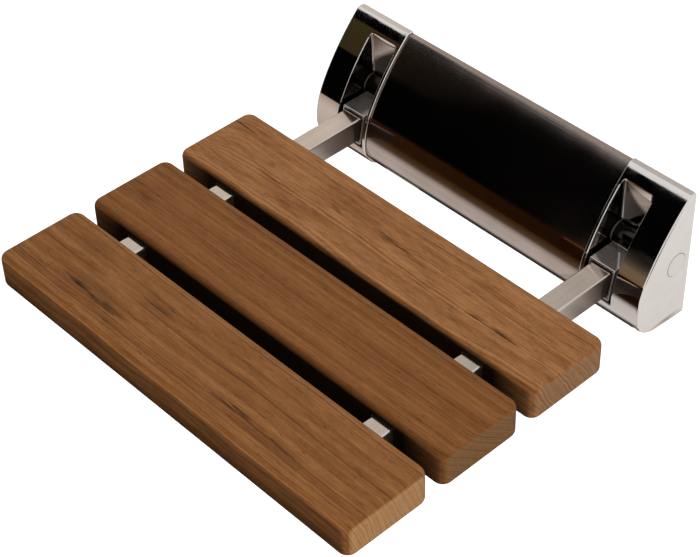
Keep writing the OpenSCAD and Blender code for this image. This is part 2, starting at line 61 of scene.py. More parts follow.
turned[:3, 0], turned[:3, 1], turned[:3, 2] = right, up, back
turned[:3, 3] = aim + right * aim_aside + up * aim_down + back * view_distance
camera.matrix_world = Matrix(turned.tolist())
bpy.context.scene.collection.objects.link(camera)
bpy.context.scene.camera = camera


# Wall plate with its clips, rivets and screws: 3 mm stainless sheet, cut and pierced, hidden by the
# cover. Everything else on the bracket is screwed or riveted to it.
class Finish:
    """A procedural material under construction, with short hands for its nodes."""

    def __init__(self, name, metallic=0.0, specular=0.5):
        self.paint = bpy.data.materials.new(name)
        self.paint.use_nodes = True
        self.tree = self.paint.node_tree
        self.shader = self.tree.nodes["Principled BSDF"]
        self.shader.inputs["Metallic"].default_value = metallic
        self.shader.inputs["Specular IOR Level"].default_value = specular
        self.place = self.add("ShaderNodeTexCoord").outputs["Object"]

    def add(self, kind, inputs=None, **settings):
        """Adds a node; an input is a number, a colour or another node's output."""
        node = self.tree.nodes.new(kind)
        for key, value in settings.items():
            setattr(node, key, value)
        for key, value in (inputs or {}).items():
            if isinstance(value, bpy.types.NodeSocket):
                self.tree.links.new(value, node.inputs[key])
            else:
                node.inputs[key].default_value = value
        return node

    def sums(self, first, second, operation="ADD", third=None):
        """One step of arithmetic."""
        inputs = {0: first, 1: second}
        if third is not None:
            inputs[2] = third
        return self.add("ShaderNodeMath", inputs, operation=operation).outputs["Value"]

    def times(self, first, second):
        """The product of two numbers."""
        return self.sums(first, second, "MULTIPLY")

    def size(self, value):
        """A number without its sign."""
        return self.sums(value, 0.0, "ABSOLUTE")

    def vectors(self, first, second, operation="ADD"):
        """One step of arithmetic with places or directions."""
        return self.add("ShaderNodeVectorMath", {0: first, 1: second}, operation=operation).outputs[0]

    def split(self, vector):
        """The X, Y and Z of a place or a direction."""
        return self.add("ShaderNodeSeparateXYZ", {"Vector": vector}).outputs

    def facing(self):
        """The X, Y and Z of the direction that the surface looks in."""
        return self.split(self.add("ShaderNodeTexCoord").outputs["Normal"])

    def noise(self, stretch, detail=3.0, harsh=0.5, shift=(0, 0, 0)):
        """Noise with its own number of lumps to the metre along each axis."""
        scaled = self.add("ShaderNodeMapping", {
            "Vector": self.place, "Scale": stretch, "Location": shift}).outputs["Vector"]
        return self.add("ShaderNodeTexNoise", {
            "Vector": scaled, "Scale": 1.0, "Detail": detail, "Roughness": harsh})

    def ramp(self, value, stops):
        """Turns a number into a colour by the stops, a list of (place, colour)."""
        node = self.add("ShaderNodeValToRGB", {"Fac": value})
        band = node.color_ramp
        while len(band.elements) < len(stops):
            band.elements.new(0.5)
        for element, (place, colour) in zip(band.elements, stops):
            element.position = place
            element.color = (*colour, 1.0)
        return node.outputs["Color"]

    def spread(self, value, low, high, start=0.3, end=0.7, **settings):
        """Spreads the numbers from start to end over low to high, and clamps the rest."""
        return self.add("ShaderNodeMapRange", {
            "Value": value, "From Min": start, "From Max": end, "To Min": low, "To Max": high},
            **settings).outputs["Result"]

    def blend(self, share, first, second, way="MIX"):
        """Mixes two colours by share; a colour may be an output or red, green and blue."""
        first, second = (c if isinstance(c, bpy.types.NodeSocket) else (*c, 1.0) for c in (first, second))
        return self.add("ShaderNodeMix", {0: share, 6: first, 7: second},
                        data_type="RGBA", blend_type=way, clamp_factor=True).outputs[2]

    def tinted(self, colour, tint):
        """The product of two colours."""
        return self.blend(1.0, colour, tint, "MULTIPLY")

    def set(self, socket, value):
        """Joins an output to one of the shader's sockets."""
        self.tree.links.new(value, self.shader.inputs[socket])

    def bump(self, height, strength, depth=0.0002):
        """Turns a height into the shader's normal."""
        inputs = {"Height": height, "Strength": strength, "Distance": depth}
        self.set("Normal", self.add("ShaderNodeBump", inputs).outputs["Normal"])


def brushed_metal(name, dark, light, rough, stretch, bump, sides=None):
    """Metal brushed along one axis: fine streaks in colour, roughness and height, over faint clouds.

    sides, a (roughness, front, rear, tint), is for faces that look along X. They are rougher by the
    roughness, and take the tint, a painted shade, between the depths front and rear, not at all at the
    first and wholly at the second.
    """
    finish = Finish(name, metallic=1.0)
    streaks = finish.noise(stretch, 6.0, 0.6).outputs["Fac"]
    clouds = finish.noise((35, 35, 35)).outputs["Fac"]
    both = finish.times(finish.sums(streaks, clouds), 0.5)
    colour = finish.ramp(both, [(0.38, dark), (0.62, light)])
    coarse = finish.spread(both, *rough)
    if sides:
        added, front, rear, tint = sides
        side = finish.spread(finish.size(finish.facing()["X"]), 0.0, 1.0, 0.6, 0.8)
        shaded = finish.spread(finish.split(finish.place)["Y"], 0.0, 1.0, front, rear)
        coarse = finish.sums(side, added, "MULTIPLY_ADD", coarse)
        colour = finish.blend(finish.times(side, shaded), colour, tint)
    finish.set("Base Color", colour)
    finish.set("Roughness", coarse)
    finish.bump(streaks, bump)
    return finish.paint


def wear(node, paint):
    """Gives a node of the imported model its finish."""
    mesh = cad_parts[node].data
    mesh.materials.clear()
    mesh.materials.append(paint)


sheet_steel = brushed_metal(
    "brushed_stainless_sheet", (0.46, 0.45, 0.44), (0.66, 0.65, 0.63), (0.26, 0.4), (6, 400, 900), 0.25)
spring_steel = brushed_metal(
    "blue_grey_spring_steel", (0.2, 0.205, 0.215), (0.34, 0.345, 0.35), (0.3, 0.45), (500, 500, 40), 0.2)
turned_steel = brushed_metal(
    "turned_steel", (0.5, 0.5, 0.49), (0.7, 0.69, 0.68), (0.2, 0.34), (900, 900, 900), 0.1)
wear("wall_plate", sheet_steel)
wear("slat_saddles", sheet_steel)
wear("cover_clips", spring_steel)
for node in ("clip_rivets", "cover_lock_screws", "housing_screws", "cross_pins", "saddle_screws"):
    wear(node, turned_steel)

# End housings: die castings, polished and chromed, one at each end of the bracket. Each has a deep
# pocket for its knuckle, with a flat back wall that runs out through the curved front. Sizes of new
# pieces are in millimetres; their heights are counted from the bracket's foot, which is at foot_z.
mm = 0.001
foot_z = -53.0
sharp_turn = 28.0
bracket_depth, bracket_height, top_depth = 51.5, 106.0, 5.0
chin_radius, chin_rise, nose_radius, brow_radius = 24.0, 2.0, 60.0, 200.0
pocket_floor, pocket_sill, pocket_back = 24.0, 62.5, -13.4
cover_edge, pocket_inner, pocket_outer, outer_face = 105.5, 108.5, 135.5, 159.0
wall, plate_face, fillet = 3.0, -3.05, 3.0
housing_rounding, recess_slant, tolerance = 2.0, 0.35, 0.1
chin_steps, nose_steps, brow_steps, fillet_steps, back_steps = 25, 21, 33, 8, 40
pivot = np.array([-13.5, 51.5])
plug_hole = 9.1
chin_centre = np.array([chin_radius - bracket_depth, chin_rise + chin_radius])
nose_centre = np.array([nose_radius - bracket_depth, chin_rise + chin_radius])
top_run = np.array([-top_depth, bracket_height]) - nose_centre
centre_run = brow_radius - nose_radius
nose_turn = math.acos(
    (centre_run ** 2 + top_run @ top_run - brow_radius ** 2) / (2 * centre_run * math.hypot(*top_run))
) - math.atan2(top_run[1], top_run[0])
brow_centre = nose_centre + centre_run * np.array([math.cos(nose_turn), -math.sin(nose_turn)])


def arc(centre, radius, angles):
    """Points (depth, height) on a circle: centre plus radius times the cosine and sine."""
    return centre + radius * np.stack([np.cos(angles), np.sin(angles)], 1)


def brow_angle(height):
    """Angle on the brow's circle at a height."""
    return math.pi - math.asin((height - brow_centre[1]) / brow_radius)


def brow_height(depth):
    """Height on the brow's circle at a depth."""
    return brow_centre[1] + np.sqrt(brow_radius ** 2 - (brow_centre[0] - depth) ** 2)


def make_piece(name, points, faces, paint, body):
    """A closed mesh that rides on a body, from points in millimetres. Its edges are sharp where the
    faces turn by more than sharp_turn degrees."""
    shape = bmesh.new()
    corners = [shape.verts.new(p) for p in ((np.asarray(points, float) + [0, 0, foot_z]) * mm).tolist()]
    for face in faces:
        shape.faces.new([corners[int(i)] for i in face])
    bmesh.ops.remove_doubles(shape, verts=shape.verts, dist=1e-6)
    bmesh.ops.recalc_face_normals(shape, faces=shape.faces)
    mesh = bpy.data.meshes.new(name)
    shape.to_mesh(mesh)
    shape.free()
    mesh.shade_smooth()
    mesh.set_sharp_from_angle(angle=math.radians(sharp_turn))
    mesh.materials.append(paint)
    thing = bpy.data.objects.new(name, mesh)
    bpy.context.scene.collection.objects.link(thing)
    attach(thing, body)
    return thing


def round_edges(thing, width, rule, steps=3):
    """Rounds the sharp edges. rule takes both ends of all edges and gives each edge's share of the
    width."""
    mesh = thing.data
    ends = np.zeros(2 * len(mesh.edges), np.int64)
    mesh.edges.foreach_get("vertices", ends)
    places = np.zeros(3 * len(mesh.vertices))
    mesh.vertices.foreach_get("co", places)
    places = places.reshape(-1, 3) / mm - [0, 0, foot_z]
    sharp = np.zeros(len(mesh.edges), bool)
    mesh.attributes["sharp_edge"].data.foreach_get("value", sharp)
    share = rule(places[ends[0::2]], places[ends[1::2]]) * sharp
    mesh.attributes.new("bevel_weight_edge", "FLOAT", "EDGE").data.foreach_set("value", share)
    bevel = thing.modifiers.new("rounded_edges", "BEVEL")
    bevel.limit_method = "WEIGHT"
    bevel.width = width * mm
    bevel.segments = steps
    bevel.use_clamp_overlap = False
    bevel.harden_normals = True


# Where the pockets' painted shade lies: the right line's slant and both lines' limits
dark_slope, dark_line_right, dark_line_left = 1.92, (0.0708, 0.0748), (0.016, 0.021)
smear_share = 0.94


def chrome_finish(name, tint, rough, wave, metallic=1.0, deep=None):
    """Polished chrome: mirror bright, with the slight waviness of a polished casting and faint smears.

    deep is a painted shade, a dark tint for a pocket's depth: below a slanted line in the right pocket,
    where height less dark_slope times depth passes the line's limits, and below a level line in the left
    one. The pockets are alike; the two lines differ because each follows the photograph's one view.
    """
    finish = Finish(name, metallic=metallic)
    smears = finish.noise((60, 60, 60), 5.0, 0.65).outputs["Fac"]
    dull = tuple(smear_share * c for c in tint)
    colour = finish.ramp(smears, [(0.3, dull), (0.7, tint)])
    if deep:
        spot = finish.split(finish.place)
        slant = finish.sums(spot["Z"], finish.times(spot["Y"], -dark_slope))
        on_left = finish.spread(spot["X"], 1.0, 0.0, -0.01, 0.01)
        on_right = finish.sums(1.0, on_left, "SUBTRACT")
        below_line = finish.sums(
            finish.times(finish.spread(slant, 1.0, 0.0, *dark_line_right), on_right),
            finish.times(finish.spread(spot["Z"], 1.0, 0.0, *dark_line_left), on_left))
        colour = finish.blend(below_line, colour, deep)
    finish.set("Base Color", colour)
    finish.set("Roughness", finish.spread(smears, *rough))
    finish.bump(finish.noise((45, 45, 45), 1.0).outputs["Fac"], wave, 0.001)
    return finish.paint


chrome = chrome_finish("polished_chrome", (0.69, 0.65, 0.62), (0.02, 0.07), 0.03)
# The pockets' walls: rougher chrome with a painted shade in their depth
recess_chrome_painted_shade = chrome_finish(
    "dull_recess_chrome_painted_shade", (0.69, 0.65, 0.62), (0.06, 0.12), 0.06, deep=(0.06, 0.052, 0.045))


def housing_mesh():
    """Right end housing. The side outline (foot line, chin, nose and brow arcs, top) is carried along X
    over five stations. Between the second and third, columns follow the pocket's plan, two quarter
    circles and a straight back, and each column of skin starts where its depth meets the brow's arc."""
    joint = math.pi - nose_turn
    flank_height, crest_height = brow_height(pocket_back - fillet), brow_height(pocket_back)
    floor_angle = math.pi + math.asin((chin_centre[1] - pocket_floor) / chin_radius)
    flank, crest, top = brow_angle(flank_height), brow_angle(crest_height), brow_angle(bracket_height)
    foot_line = np.linspace([0.0, 0.0], chin_centre - [0, chin_radius], 8)
    chin = arc(chin_centre, chin_radius, np.linspace(1.5 * math.pi, floor_angle, chin_steps))
    chin_end = arc(chin_centre, chin_radius, np.linspace(floor_angle, math.pi, 3))
    nose = arc(nose_centre, nose_radius, np.linspace(math.pi, joint, nose_steps))
    brow = arc(brow_centre, brow_radius, np.linspace(joint, flank, brow_steps))
    brow_end = arc(brow_centre, brow_radius, np.r_[
        np.linspace(flank, crest, 4)[:-1], np.linspace(crest, top, 8)])
    skin = np.concatenate([
        foot_line[:-1], chin[:-1], chin_end[:-1], nose[:-1], brow[:-1], brow_end, [[0.0, bracket_height]]])
    floor_at = len(foot_line) + len(chin) - 2
    flank_at = floor_at + len(chin_end) + len(nose) + len(brow) - 3
    behind = np.array([
        [0.0, bracket_height - wall], [plate_face, bracket_height - wall], [plate_face, pocket_sill],
        [plate_face, pocket_floor], [plate_face, wall], [0.0, wall]])
    ring = np.concatenate([skin, behind])
    n, m = len(skin), len(ring)
    stations = [cover_edge, pocket_inner, pocket_outer, outer_face - wall, outer_face]
    points = [np.column_stack([np.full(m, x), ring]) for x in stations]
    faces = []

    def strip(k, run):
        """Quads between the stations k and k + 1 from each ring point of run to the next."""
        run = np.asarray(run)
        a, b = k * m + run, k * m + (run + 1) % m
        faces.extend(np.column_stack([a, b, b + m, a + m]).tolist())

    everything = np.arange(m)
    strip(0, everything)
    strip(1, np.r_[0:floor_at, n + 3:m])
    strip(2, everything)
    strip(3, np.arange(n - 1))
    a, b, sill_at, low_at = m, 2 * m, n + 2, n + 3
    faces.append([a + floor_at, b + floor_at, b + low_at, a + low_at])
    # Columns over the pocket: skin, top and back, then the pocket's own walls and its sill
    turn = np.linspace(0, 0.5 * math.pi, fillet_steps)
    bend = fillet * (1 - np.cos(turn))
    plan_x = np.r_[pocket_inner + bend, pocket_outer - bend[::-1]]
    plan_y = pocket_back - fillet + fillet * np.r_[np.sin(turn), np.sin(turn)[::-1]]
    rim = brow_height(plan_y)
    share = (skin[flank_at:n - 1, 1] - flank_height) / (bracket_height - flank_height)
    height = rim[:, None] + (bracket_height - rim)[:, None] * share
    depth = brow_centre[0] - np.sqrt(brow_radius ** 2 - (height - brow_centre[1]) ** 2)
    tail = np.concatenate([skin[n - 1:], behind[:3]])
    c, k = height.shape
    columns = np.zeros((c, k + len(tail), 3))
    columns[:, :, 0] = plan_x[:, None]
    columns[:, :k, 1], columns[:, :k, 2] = depth, height
    columns[:, k:, 1:] = tail
    k += len(tail)
    start = 5 * m
    points.append(columns.reshape(-1, 3))
    i, j = np.meshgrid(np.arange(c - 1), np.arange(k - 1), indexing="ij")
    at = (start + i * k + j).ravel()
    faces.extend(np.column_stack([at, at + k, at + k + 1, at + 1]).tolist())
    sill = start + c * k
    points.append(np.column_stack([plan_x, plan_y, np.full(c, pocket_sill)]))
    i = np.arange(c - 1)
    faces.extend(np.column_stack([sill + i, sill + i + 1, start + (i + 1) * k, start + i * k]).tolist())
    faces.extend(np.column_stack([
        sill + i, sill + i + 1, start + (i + 2) * k - 1, start + (i + 1) * k - 1]).tolist())
    front = list(range(floor_at, flank_at + 1))
    faces.append([a + i for i in front] + [sill, a + sill_at, a + low_at])
    faces.append([b + i for i in front] + [sill + c - 1, b + sill_at, b + low_at])
    faces.append(list(range(m)))
    # Outer wall: its inner edge, its back and the outer face in quads from the outline to the plug's hole
    inner, outer = 3 * m, 4 * m
    faces.append([inner + i for i in range(n - 1, m)] + [inner])
    back_line = np.linspace([0.0, bracket_height], [0.0, 0.0], back_steps)[1:-1]
    start = sill + c
    points.append(np.column_stack([np.full(len(back_line), outer_face), back_line]))
    outline = np.concatenate([skin, back_line])
    rim = np.r_[outer:outer + n, start:start + len(back_line)]
    faces.append([inner + n - 1] + rim[n - 1:].tolist() + [outer, inner])
    turn = np.arctan2(outline[:, 1] - pivot[1], outline[:, 0] - pivot[0])
    circle = arc(pivot, plug_hole, turn)
    q = len(rim)
    hole = start + len(back_line)
    for x in (outer_face, outer_face - wall):
        points.append(np.column_stack([np.full(q, x), circle]))
    i = np.arange(q)
    after = (i + 1) % q
    faces.extend(np.column_stack([rim, hole + i, hole + after, rim[after]]).tolist())
    faces.extend(np.column_stack([hole + i, hole + q + i, hole + q + after, hole + after]).tolist())
    faces.append((hole + q + i).tolist())
    return np.concatenate(points), faces


def housing_edges(a, b):
    """Shares: the outer face's edges 0.75, the plug's hole 0.1, the hidden edges at the back none, and
    all other rims 0.4."""
    at_x = np.abs(a[:, 0])
    end = (np.abs(a[:, 0] - b[:, 0]) < tolerance) & (np.abs(at_x - outer_face) < tolerance)
    from_pivot = np.hypot(a[:, 1] - pivot[0], a[:, 2] - pivot[1])
    hole = (from_pivot < plug_hole + tolerance) & (at_x > outer_face - wall - tolerance)
    behind = np.minimum(a[:, 1], b[:, 1]) > plate_face - tolerance
    return np.select([behind, hole, end], [0.0, 0.1, 0.75], 0.4)


points, faces = housing_mesh()
for side, hand in (("right", 1), ("left", -1)):
    housing = make_piece("chromed_housing_" + side, points * [hand, 1, 1], faces, chrome, "bracket")
    housing.data.materials.append(recess_chrome_painted_shade)
    middles, facing = np.zeros(3 * len(faces)), np.zeros(3 * len(faces))
    housing.data.polygons.foreach_get("center", middles)
    housing.data.polygons.foreach_get("normal", facing)
    away = np.abs(middles[0::3] / mm)
    over_pocket = (away > pocket_inner - tolerance) & (away < pocket_outer + tolerance)
    recess = over_pocket & (np.abs(facing[0::3]) > recess_slant)
    housing.data.polygons.foreach_set("material_index", recess.astype(np.int32))
    round_edges(housing, housing_rounding, housing_edges)
    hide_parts("housing_" + side)

# Centre cover: extruded aluminium, dark anodised and lightly brushed along its length, screwed to the
# clips from below.
cover_finish = brushed_metal(
    "dark_satin_cover", (0.35, 0.285, 0.25), (0.42, 0.34, 0.305), (0.08, 0.13), (4, 700, 700), 0.05)
wear("centre_cover", cover_finish)

# Pivots: stainless pins with bronze bushes, acetal washers beside the knuckles' eyes, chromed plugs in
# the housings' outer faces and hard black pads that the knuckles' heels bear on.
# The washers are tinted nearly black, a painted shade deep in the pockets
acetal = Finish("acetal_painted_shade")
grain = acetal.noise((900, 900, 900), 4.0).outputs["Fac"]
acetal.set("Base Color", acetal.ramp(grain, [(0.3, (0.05, 0.046, 0.04)), (0.7, (0.1, 0.094, 0.085))]))
acetal.set("Roughness", acetal.spread(grain, 0.35, 0.5))
wear("friction_washers", acetal.paint)
plastic = Finish("moulded_black_plastic")
grain = plastic.noise((1500, 1500, 1500), 4.0).outputs["Fac"]
plastic.set("Base Color", plastic.ramp(grain, [(0.3, (0.018, 0.018, 0.018)), (0.7, (0.04, 0.04, 0.04))]))
plastic.set("Roughness", plastic.spread(grain, 0.45, 0.65))
plastic.bump(grain, 0.3, 0.0001)
bronze = brushed_metal(
    "plain_bearing_bronze", (0.5, 0.33, 0.16), (0.68, 0.47, 0.25), (0.25, 0.4), (300, 300, 300), 0.1)
for side in ("left", "right"):
    wear("pivot_pin_" + side, turned_steel)
    wear("pivot_bush_" + side, bronze)
    wear("stop_pad_" + side, plastic.paint)
    wear("pin_plug_" + side, chrome)

# Knuckles: cast steel, polished and chromed. Each has an eye on the pivot and a square sleeve with a
# widened, slanted mouth that the arm is pushed into.
arm_x = 122.0
knuckle_half, mouth_half, eye_half = 11.2, 9.6, 12.2
knuckle_top, knuckle_foot, mouth_ceiling, mouth_floor = 49.6, 25.4, 48.0, 27.0
mouth_depth, knuckle_rounding, sleeve_sunk = 5.0, 0.8, 0.1
eye_radius, heel_radius, heel_face = 10.0, 4.0, -6.0
eye_steps, sleeve_steps, heel_steps = 64, 49, 10
lip_top = np.array([-46.26, knuckle_top])
lip_foot = np.array([-51.1, knuckle_foot])
# The eyes lie deep in the pockets and are tinted as dark as they look in the photograph, a painted shade on
# their chrome
eye_chrome_painted_shade = chrome_finish("dark_eye_chrome_painted_shade", (0.03, 0.027, 0.024), (0.05, 0.12), 0.06)
sleeve_chrome = chrome_finish("dull_knuckle_chrome", (0.5, 0.46, 0.43), (0.05, 0.14), 0.05, 0.9)


def knuckle_mesh():
    """Right knuckle's sleeve: its side outline (slanted mouth, heel arc, eye arc) carried along X over
    four stations; between the inner two the mouth is sunk by its depth. The eye arc lies sleeve_sunk
    inside the eye itself."""
    lean = (lip_foot - lip_top) / (knuckle_foot - knuckle_top)
    mouth_top, mouth_foot = lip_top + lean * np.array([[mouth_ceiling], [mouth_floor]]) - lean * knuckle_top
    rear = math.acos((heel_face - pivot[0]) / eye_radius)
    fore = math.pi + math.asin((pivot[1] - knuckle_top) / eye_radius)
    heel_centre = np.array([heel_face - heel_radius, knuckle_foot + heel_radius])
    ring = np.concatenate([
        [lip_top, mouth_top, mouth_foot, lip_foot],
        arc(heel_centre, heel_radius, np.linspace(-0.5 * math.pi, 0.0, heel_steps)),
        arc(pivot, eye_radius - sleeve_sunk, np.linspace(-rear, fore, sleeve_steps))])
    m = len(ring)
    stations = arm_x + np.array([-knuckle_half, -mouth_half, mouth_half, knuckle_half])
    points = [np.column_stack([np.full(m, x), ring]) for x in stations]
    faces = [list(range(m)), [3 * m + i for i in range(m)]]
    for k in range(3):
        run = np.arange(m) if k != 1 else np.r_[0, 2:m]
        a, b = k * m + run, k * m + (run + 1) % m
        faces.extend(np.column_stack([a, b, b + m, a + m]).tolist())
    sunk = np.array([mouth_top, mouth_foot]) + [mouth_depth, 0]
    points.extend(np.column_stack([np.full(2, x), sunk]) for x in stations[1:3])
    near, far, a, b = 4 * m, 4 * m + 2, m, 2 * m
    faces.extend([
        [a + 1, b + 1, far, near], [near, far, far + 1, near + 1], [near + 1, far + 1, b + 2, a + 2],
        [a + 2, a + 1, near, near + 1], [b + 1, b + 2, far + 1, far]])
    return np.concatenate(points), faces


def eye_mesh():
    """Right knuckle's eye: a disc of the eye's radius, a little wider than the sleeve."""
    circle = arc(pivot, eye_radius, np.linspace(0, 2 * math.pi, eye_steps, endpoint=False))
    ends = [np.column_stack([np.full(eye_steps, x), circle]) for x in (arm_x - eye_half, arm_x + eye_half)]
    i = np.arange(eye_steps)
    after = (i + 1) % eye_steps
    faces = np.column_stack([i, after, eye_steps + after, eye_steps + i]).tolist()
    return np.concatenate(ends), faces + [i.tolist(), (eye_steps + i).tolist()]


def knuckle_edges(a, b):
    """Shares: the mouth's inner rims half, all others whole."""
    inner = [np.abs(np.abs(end[:, 0]) - arm_x) < mouth_half + tolerance for end in (a, b)]
    return np.where(inner[0] & inner[1], 0.5, 1.0)


knuckle_parts = (("sleeve", knuckle_mesh(), sleeve_chrome), ("eye", eye_mesh(), eye_chrome_painted_shade))
for side, hand in (("right", 1), ("left", -1)):
    for part, (points, faces), paint in knuckle_parts:
        cast = make_piece("knuckle_" + part + "_" + side, points * [hand, 1, 1], faces, paint, "seat")
        round_edges(cast, knuckle_rounding, knuckle_edges)
        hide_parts("knuckle_" + side)

# Arms: square stainless tube with a satin grain along its length, pushed into the knuckles and let into
# the slats from below; black plugs close the front ends.
# The tube's sides darken towards the knuckles' mouths: painted shade
satin = brushed_metal(
    "satin_tube", (0.54, 0.475, 0.425), (0.64, 0.56, 0.505), (0.08, 0.14), (900, 12, 900), 0.12,
    sides=(0.25, -0.11, -0.06, (0.17, 0.14, 0.12)))
wear("arm_left", satin)
wear("arm_right", satin)
wear("arm_plugs", plastic.paint)

# Slats: solid teak boards, planed, rounded over and oiled. Each board has its own figure, and all are
# grooved below for the arms and screwed to them with let-in plates. The faces in the gaps are tinted
# nearly black, a painted shade as dark as they look in the photograph.

# Painted shade: where the two gaps lie, how far from their middles the black begins to fade and ends,
# and the same along X; then the heights over which the front face darkens to its foot, and the foot's share
gap_middles, gap_half, gap_ends = (-0.17775, -0.25825), (0.0056, 0.0085), (0.14, 0.168)
face_foot, face_head, foot_share = -0.026, -0.014, 0.45
gap_painted_shade, rounding_painted_shade = (0.001, 0.0006, 0.0003), (0.84, 0.76, 0.64)


def tone(red, green, blue):
    """A colour given as it looks on a screen, 0 to 255, turned into linear light."""
    c = np.array([red, green, blue]) / 255.0
    return tuple(np.where(c <= 0.04045, c / 12.92, ((c + 0.055) / 1.055) ** 2.4).tolist())


def painted_light_and_shade_by_side(finish, colour, face, light):
    """The wood's colour with light and shade painted in by the way each face looks. The front roundings
    take a warmer, darker painted shade, the front face a painted shade as bright as face says and darker
    towards its foot, the rear roundings a painted highlight, and the flat faces in the gaps a painted shade
    near black, less so towards the slats' ends."""
    front = finish.times(finish.facing()["Y"], -1.0)
    spot = finish.split(finish.place)
    rounding = finish.times(finish.spread(front, 0.0, 1.0, 0.1, 0.4), finish.spread(front, 1.0, 0.0, 0.6, 0.9))
    colour = finish.blend(rounding, colour, finish.tinted(colour, rounding_painted_shade))
    foot = tuple(foot_share * c for c in face)
    face_painted_shade = finish.blend(finish.spread(spot["Z"], 0.0, 1.0, face_foot, face_head), foot, face)
    colour = finish.blend(finish.spread(front, 0.0, 1.0, 0.8, 0.97), colour, finish.tinted(colour, face_painted_shade))
    colour = finish.blend(finish.spread(front, 0.0, 0.7, -0.2, -0.5), colour, light)
    away = [finish.size(finish.sums(spot["Y"], -middle)) for middle in gap_middles]
    gap = finish.sums(*away, "MINIMUM")
    inside = finish.spread(finish.size(spot["X"]), 1.0, 0.45, *gap_ends)
    in_gap = finish.times(finish.spread(gap, 0.97, 0.0, *gap_half), inside)
    flat = finish.sums(
        finish.spread(front, 1.0, 0.0, -0.9, -0.7), finish.spread(front, 0.0, 1.0, -0.05, 0.05), "MAXIMUM")
    return finish.blend(finish.times(in_gap, flat), colour, gap_painted_shade)


def teak(name, tones, ends, face, lean, shift, warp, parts, fine, streaks=(), clouds=(), knots=()):
    """Teak as a solid. Growth layers are flat sheets leaning by lean, bent by a slow noise of warp
    metres and pushed aside round the knots; their depth picks the colour. parts are the shares of the
    broad layers, the clouds and the close layers. Fibres, fine strong, and pores are drawn out along
    the board. Streaks, clouds and knots are ellipses seen from above, given by middle, half length,
    half width and strength; a cloud of negative strength is light."""
    dark, _, light = tones
    black = tuple(0.2 * c for c in dark)
    finish = Finish(name, specular=0.05)
    slow = finish.noise((7, 28, 28), 2.0, 0.5, shift).outputs["Color"]
    pushed = finish.vectors(finish.vectors(slow, (0.5, 0.5, 0.5), "SUBTRACT"), (0.0, warp, warp), "MULTIPLY")
    bent = finish.vectors(finish.place, pushed)
    layer = finish.add("ShaderNodeVectorMath", {
        0: bent, 1: (0.0, math.cos(lean), math.sin(lean))}, operation="DOT_PRODUCT").outputs["Value"]

    def distance(x, y, long, wide):
        """How far a point is from an upright ellipse's middle, 1 at its rim."""
        scaled = finish.add("ShaderNodeMapping", {
            "Vector": bent, "Location": (-x / long, -y / wide, 0),
            "Scale": (1 / long, 1 / wide, 0)}).outputs["Vector"]
        return finish.add("ShaderNodeVectorMath", {0: scaled}, operation="LENGTH").outputs["Value"]

    def layers(start, count, detail, harsh):
        """Noise that changes with the layers' depth only, count lumps to the metre."""
        return finish.add("ShaderNodeTexNoise", {
            "W": finish.sums(layer, start), "Scale": count, "Detail": detail, "Roughness": harsh},
            noise_dimensions="1D").outputs["Fac"]

    for x, y, long, wide, push in knots:
        layer = finish.sums(layer, finish.spread(
            distance(x, y, long, wide), push, 0.0, 0.0, 1.0, interpolation_type="SMOOTHSTEP"))
    broad, close = layers(shift[0], 95.0, 3.0, 0.55), layers(shift[1], 700.0, 2.0, 0.6)
    cloud = finish.noise((32, 170, 170), 6.0, 0.75, shift).outputs["Fac"]
    depth = finish.sums(finish.times(broad, parts[0]), finish.times(cloud, parts[1]))
    depth = finish.sums(depth, finish.times(close, parts[2]))
    colour = finish.ramp(depth, list(zip((0.38, 0.5, 0.62), tones)))
    for x, y, long, wide, strength in clouds:
        shade = finish.spread(
            distance(x, y, long, wide), abs(strength), 0.0, 0.2, 1.0, interpolation_type="SMOOTHSTEP")
        colour = finish.blend(shade, colour, dark if strength > 0 else light)
    rag = finish.noise((38, 750, 750), 3.0, 0.65, shift).outputs["Fac"]
    for x, y, long, wide, strength in streaks:
        far = finish.sums(distance(x, y, long, wide), finish.spread(rag, -0.75, 0.75))
        colour = finish.blend(finish.spread(far, strength, 0.0, 0.1, 0.9), colour, black)
    fibre = finish.noise((90, 600, 600), 6.0, 0.95, shift).outputs["Fac"]
    colour = finish.tinted(colour, finish.ramp(fibre, [(0.37, (1 - fine,) * 3), (0.63, (1 + fine,) * 3)]))
    pores = finish.noise((130, 1300, 1300), 2.0, 0.5, shift).outputs["Fac"]
    pit = finish.spread(pores, 0.6, 0.0, 0.26, 0.38)
    colour = painted_light_and_shade_by_side(finish, finish.blend(pit, colour, black), face, light)
    # End grain: the layers cut across
    at_end = finish.spread(finish.size(finish.facing()["X"]), 0.0, 1.0, 0.75, 0.95)
    dots = finish.noise((900, 900, 900), 3.0, 0.6).outputs["Fac"]
    cut = finish.sums(finish.times(close, 0.6), finish.times(dots, 0.4))
    colour = finish.blend(at_end, colour, finish.ramp(cut, [(0.38, ends[0]), (0.6, ends[1])]))
    finish.set("Base Color", colour)
    finish.set("Roughness", finish.spread(fibre, 0.42, 0.6))
    finish.bump(finish.sums(fibre, finish.times(pit, -0.8)), 0.2, 0.0003)
    return finish.paint


